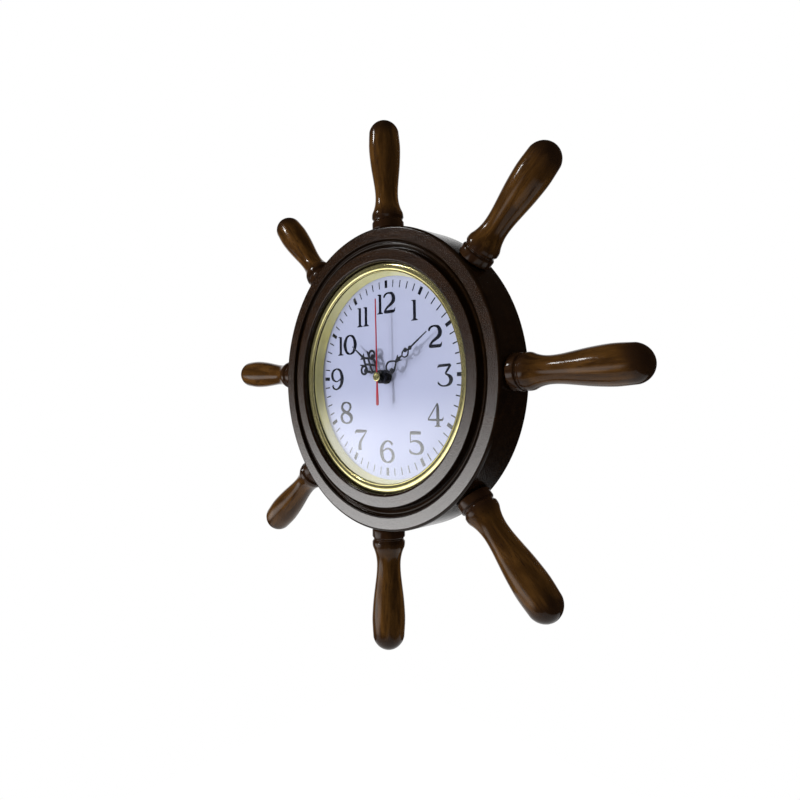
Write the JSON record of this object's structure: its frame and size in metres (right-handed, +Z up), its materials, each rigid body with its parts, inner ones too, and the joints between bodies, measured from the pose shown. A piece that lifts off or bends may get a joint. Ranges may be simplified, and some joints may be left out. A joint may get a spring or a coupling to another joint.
{
  "type": "ship wheel wall clock",
  "caption": "Wooden ship wheel wall clock with turned handles, a brass-rimmed quartz clock let into its bore, openwork hands, and a keyhole plate on its back.",
  "frame": {"origin": "centre of the wheel, in the plane where the axes of the handles meet", "axes": "+X to the viewer's right, +Y from the dial to the wall, +Z up"},
  "size_m": [0.3998, 0.0358, 0.3997],
  "materials": {
    "dark_wood": "gloss",
    "handle_wood": "gloss",
    "brass": "polished",
    "clear_glass": "gloss",
    "white_enamel": "satin",
    "black_paint": "satin",
    "red_paint": "satin",
    "black_plastic": "matte",
    "white_plastic": "satin",
    "black_rubber": "matte",
    "steel": "satin",
    "zinc_plate": "satin",
    "coil_copper": "gloss",
    "board_green": "satin",
    "cell_jacket": "satin"
  },
  "bodies": {
    "wheel": {"wheel_rim": "dark_wood", "handle_1": "handle_wood", "handle_2": "handle_wood", "handle_3": "handle_wood", "handle_4": "handle_wood", "handle_5": "handle_wood", "handle_6": "handle_wood", "handle_7": "handle_wood", "handle_8": "handle_wood", "bezel_ring": "brass", "glass_lens": "clear_glass", "reflector_ring": "brass", "dial_plate": "white_enamel", "insert_case": "black_plastic", "case_gasket": "black_rubber", "dial_washer": "brass", "hex_nut": "brass", "rubber_washer": "black_rubber", "movement_tray": "black_plastic", "movement_cover": "black_plastic", "stator": "steel", "coil": "coil_copper", "circuit_board": "board_green", "quartz_crystal": "steel", "battery_cell": "cell_jacket", "contact_positive": "steel", "contact_negative": "steel", "hanger_plate": "zinc_plate", "hanger_screw_1": "zinc_plate", "hanger_screw_2": "zinc_plate"},
    "second_hands": {"second_wheel": "white_plastic", "second_hand": "red_paint", "second_hand_cap": "brass", "second_hand_collar": "black_paint"},
    "minute_hands": {"cannon_pinion": "brass", "minute_hand": "black_paint"},
    "hour_hands": {"hour_wheel": "white_plastic", "hour_hand": "black_paint"},
    "rotor": {"rotor": "steel"},
    "intermediate_wheel": {"intermediate_wheel": "white_plastic"},
    "third_wheel": {"third_wheel": "white_plastic"},
    "centre_wheel": {"centre_wheel": "white_plastic"},
    "reduction_wheel": {"reduction_wheel": "white_plastic"},
    "setting_knob": {"setting_knob": "white_plastic"}
  },
  "joints": [
    {"name": "second_turn", "type": "hinge", "parent": "wheel", "child": "second_hands", "pos_m": [0, 0, 0], "axis": [0, 1, 0], "continuous": true},
    {"name": "minute_turn", "type": "hinge", "parent": "wheel", "child": "minute_hands", "pos_m": [0, 0, 0], "axis": [0, 1, 0], "continuous": true},
    {"name": "hour_turn", "type": "hinge", "parent": "wheel", "child": "hour_hands", "pos_m": [0, 0, 0], "axis": [0, 1, 0], "continuous": true},
    {"name": "rotor_turn", "type": "hinge", "parent": "wheel", "child": "rotor", "pos_m": [0.0157, 0, 0.008], "axis": [0, 1, 0], "continuous": true},
    {"name": "intermediate_turn", "type": "hinge", "parent": "wheel", "child": "intermediate_wheel", "pos_m": [0.00733, 0, 0.00873], "axis": [0, 1, 0], "continuous": true},
    {"name": "third_turn", "type": "hinge", "parent": "wheel", "child": "third_wheel", "pos_m": [-0.00987, 0, 0.0057], "axis": [0, 1, 0], "continuous": true},
    {"name": "centre_turn", "type": "hinge", "parent": "wheel", "child": "centre_wheel", "pos_m": [0, 0, 0], "axis": [0, 1, 0], "continuous": true},
    {"name": "reduction_turn", "type": "hinge", "parent": "wheel", "child": "reduction_wheel", "pos_m": [0.00617, 0, -0.00735], "axis": [0, 1, 0], "continuous": true},
    {"name": "knob_turn", "type": "hinge", "parent": "wheel", "child": "setting_knob", "pos_m": [0.01562, 0, -0.00569], "axis": [0, 1, 0], "continuous": true}
  ],
  "couplings": [
    {"joint": "intermediate_turn", "follows": "second_turn", "ratio": -6},
    {"joint": "rotor_turn", "follows": "second_turn", "ratio": 30},
    {"joint": "third_turn", "follows": "second_turn", "ratio": -0.13333},
    {"joint": "centre_turn", "follows": "second_turn", "ratio": 0.016667},
    {"joint": "reduction_turn", "follows": "minute_turn", "ratio": -0.33333},
    {"joint": "hour_turn", "follows": "minute_turn", "ratio": 0.083333},
    {"joint": "knob_turn", "follows": "minute_turn", "ratio": 1}
  ]
}
